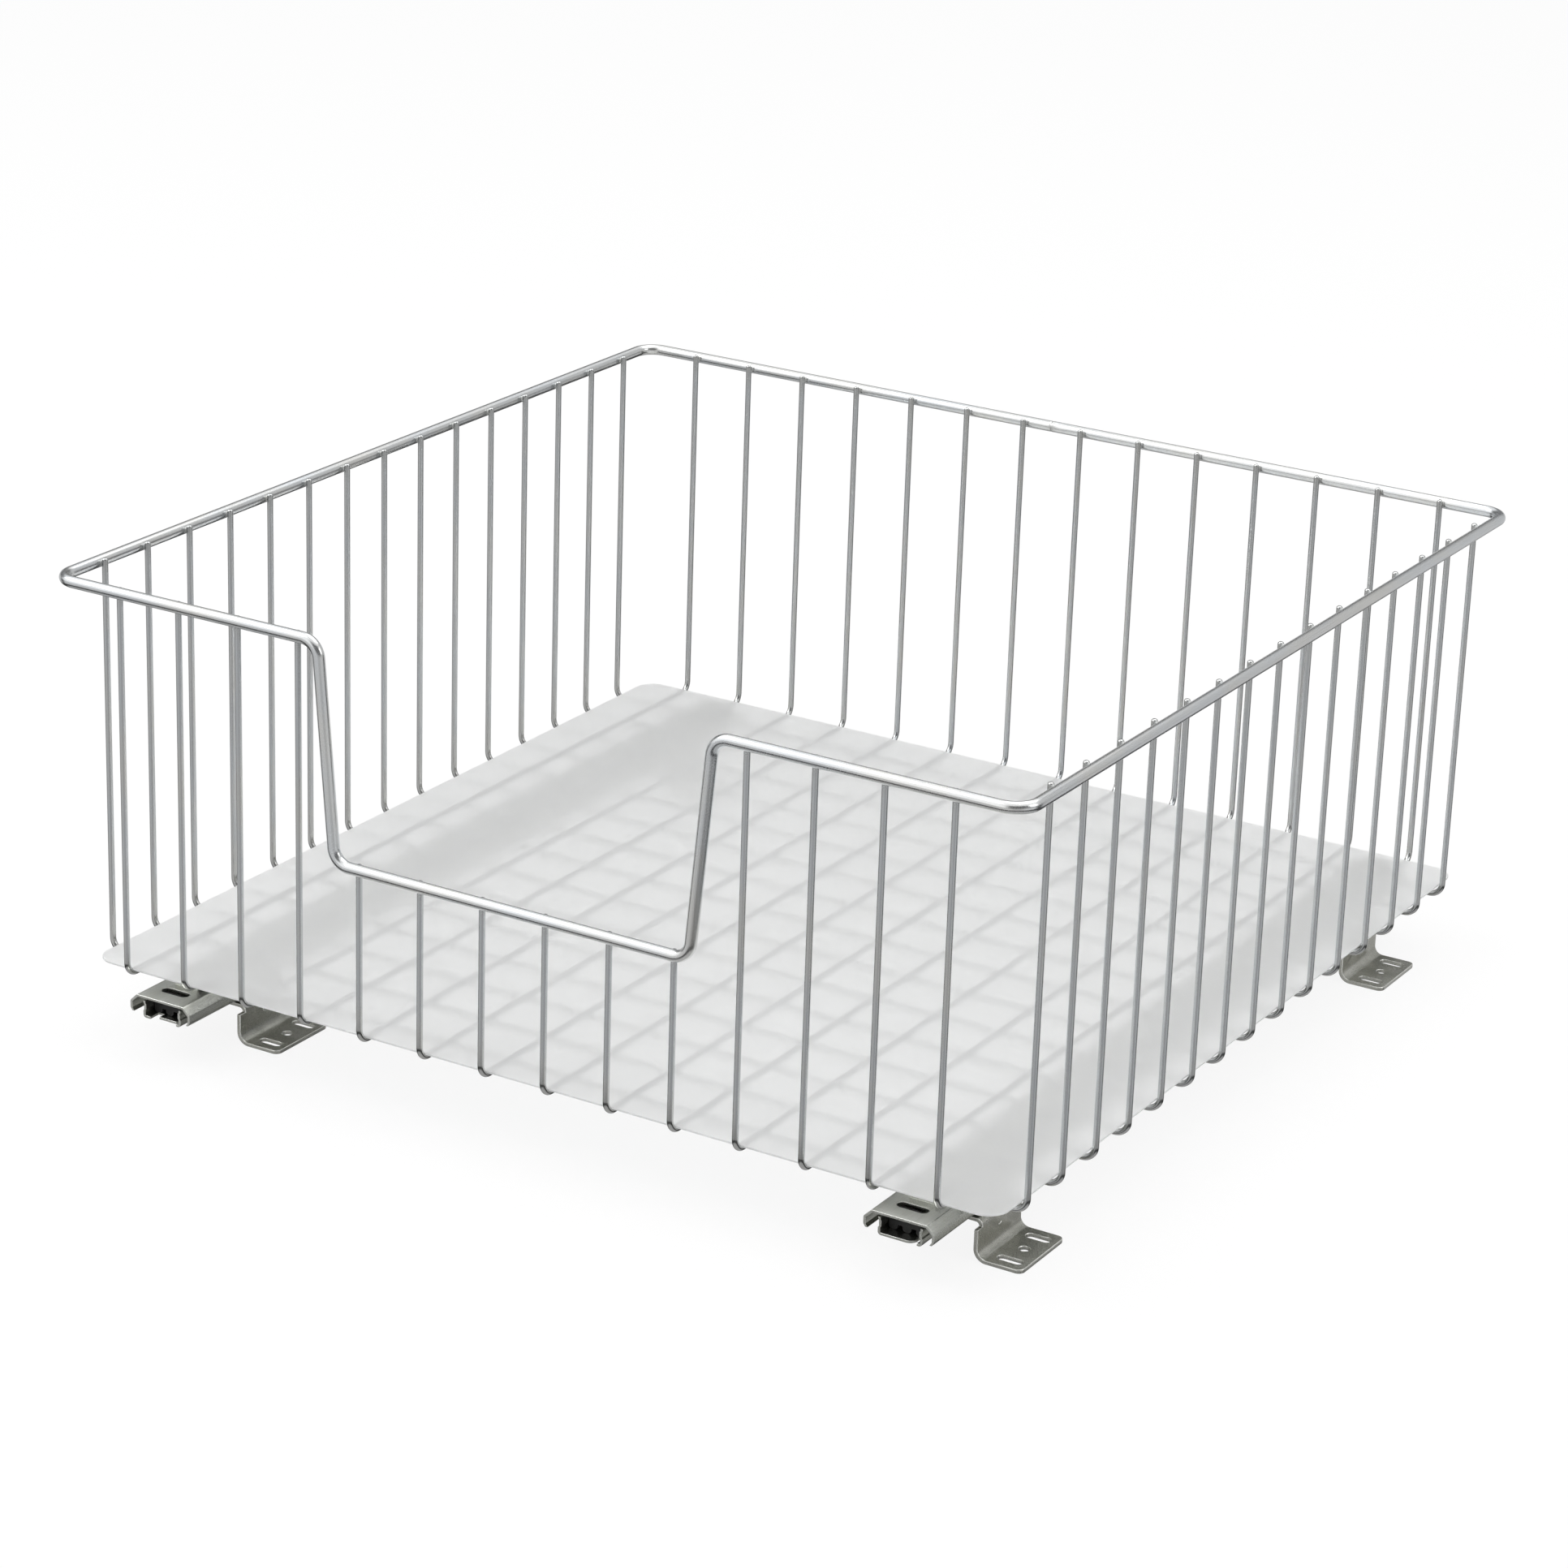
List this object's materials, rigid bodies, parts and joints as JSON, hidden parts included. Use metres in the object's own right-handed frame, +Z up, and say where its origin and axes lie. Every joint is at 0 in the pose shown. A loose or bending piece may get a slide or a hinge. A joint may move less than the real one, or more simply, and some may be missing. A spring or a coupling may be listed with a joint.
{
  "type": "pull-out wire basket",
  "caption": "Pull-out wire basket with a dipped front rim and a liner mat, on two flat ball slides with screw-down Z brackets, for a kitchen base cabinet.",
  "frame": {"origin": "bottom centre of the whole basket, on the plane that the bracket feet stand on", "axes": "+Z up, X across the basket, -Y towards the front, the way the basket pulls out"},
  "size_m": [0.5168, 0.5128, 0.2312],
  "materials": {
    "rim_wire": "bright zinc plated round wire",
    "thin_wire": "bright zinc plated round wire",
    "liner_plastic": "frosted translucent plastic sheet",
    "basket_rail": "zinc plated rolled strip",
    "base_rail": "zinc plated rolled strip",
    "cage": "zinc plated thin strip",
    "balls": "polished bearing steel",
    "buffer_plastic": "black moulded plastic",
    "bracket": "zinc plated pressed plate",
    "rivet": "zinc plated"
  },
  "bodies": {
    "slide_bases": {"left_base_rail": "base_rail", "left_front_buffer": "buffer_plastic", "left_back_buffer": "buffer_plastic", "left_front_bracket": "bracket", "left_back_bracket": "bracket", "left_bracket_rivets": "rivet", "right_base_rail": "base_rail", "right_front_buffer": "buffer_plastic", "right_back_buffer": "buffer_plastic", "right_front_bracket": "bracket", "right_back_bracket": "bracket", "right_bracket_rivets": "rivet"},
    "basket": {"rim_frame": "rim_wire", "liner_mat": "liner_plastic", "long_wire_01": "thin_wire", "long_wire_02": "thin_wire", "long_wire_03": "thin_wire", "long_wire_04": "thin_wire", "long_wire_05": "thin_wire", "long_wire_06": "thin_wire", "long_wire_07": "thin_wire", "long_wire_08": "thin_wire", "long_wire_09": "thin_wire", "long_wire_10": "thin_wire", "long_wire_11": "thin_wire", "long_wire_12": "thin_wire", "long_wire_13": "thin_wire", "long_wire_14": "thin_wire", "cross_wire_01": "thin_wire", "cross_wire_02": "thin_wire", "cross_wire_03": "thin_wire", "cross_wire_04": "thin_wire", "cross_wire_05": "thin_wire", "cross_wire_06": "thin_wire", "cross_wire_07": "thin_wire", "cross_wire_08": "thin_wire", "cross_wire_09": "thin_wire", "cross_wire_10": "thin_wire", "cross_wire_11": "thin_wire", "cross_wire_12": "thin_wire", "cross_wire_13": "thin_wire", "cross_wire_14": "thin_wire", "cross_wire_15": "thin_wire", "left_basket_rail": "basket_rail", "right_basket_rail": "basket_rail"},
    "left_cage": {"left_ball_cage": "cage", "left_ball_set": "balls"},
    "right_cage": {"right_ball_cage": "cage", "right_ball_set": "balls"}
  },
  "joints": [
    {"name": "basket_slide", "type": "slide", "parent": "slide_bases", "child": "basket", "axis": [0, -1, 0], "range_m": [0, 0.36]},
    {"name": "left_cage_slide", "type": "slide", "parent": "slide_bases", "child": "left_cage", "axis": [0, -1, 0], "range_m": [0, 0.18]},
    {"name": "right_cage_slide", "type": "slide", "parent": "slide_bases", "child": "right_cage", "axis": [0, -1, 0], "range_m": [0, 0.18]}
  ],
  "couplings": [
    {"joint": "left_cage_slide", "follows": "basket_slide", "ratio": 0.5},
    {"joint": "right_cage_slide", "follows": "basket_slide", "ratio": 0.5}
  ]
}
